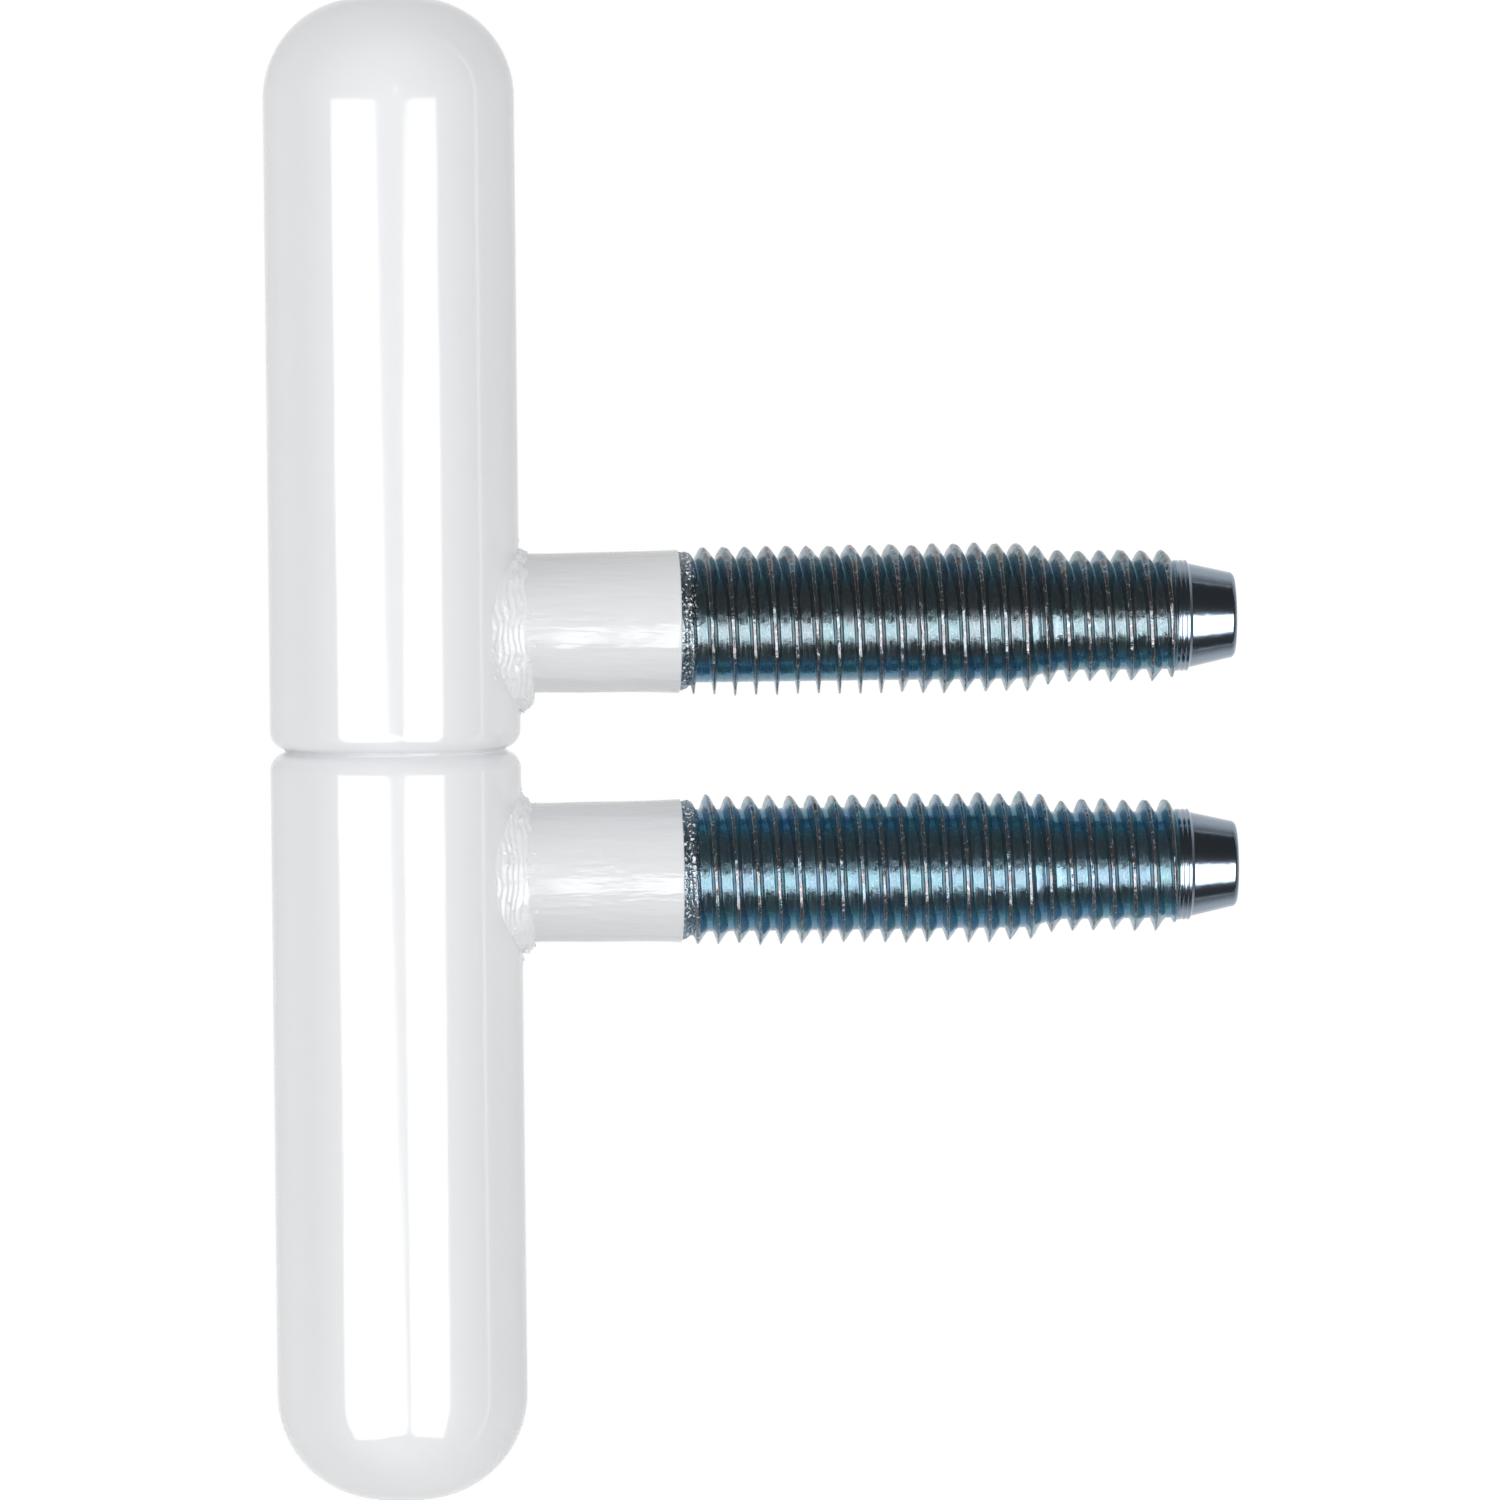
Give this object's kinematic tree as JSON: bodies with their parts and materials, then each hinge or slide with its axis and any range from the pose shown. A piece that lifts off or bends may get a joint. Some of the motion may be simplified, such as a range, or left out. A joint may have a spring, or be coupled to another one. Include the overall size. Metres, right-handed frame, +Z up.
{
  "type": "drill in hinge",
  "caption": "White lift-off door hinge: round barrels end to end on a hidden pin, each with a side stud that screws into the door edge or frame.",
  "frame": {"origin": "on the lower stud's axis, where its thread begins", "axes": "+Z up along the hinge axis, from the frame half to the leaf half; +X along both studs, away from the barrels"},
  "size_m": [0.0578, 0.015, 0.09],
  "materials": {
    "white_paint": "glossy white powder coat on steel",
    "blue_zinc": "cold-rolled steel with dark blue passivated zinc, its plain shank coated white with the barrel",
    "bright_steel": "ground bright steel, lightly greased"
  },
  "bodies": {
    "frame_half": {"lower_barrel": "white_paint", "lower_stud": "blue_zinc", "lower_weld_collar": "white_paint"},
    "pin": {"hinge_pin": "bright_steel"},
    "leaf_half": {"upper_barrel": "white_paint", "upper_stud": "blue_zinc", "upper_weld_collar": "white_paint"}
  },
  "joints": [
    {"name": "leaf_turn", "type": "hinge", "parent": "frame_half", "child": "pin", "pos_m": [-0.017, 0, 0.00745], "axis": [0, 0, 1], "continuous": true},
    {"name": "lift_off", "type": "slide", "parent": "pin", "child": "leaf_half", "axis": [0, 0, 1], "range_m": [0, 0.034]}
  ]
}
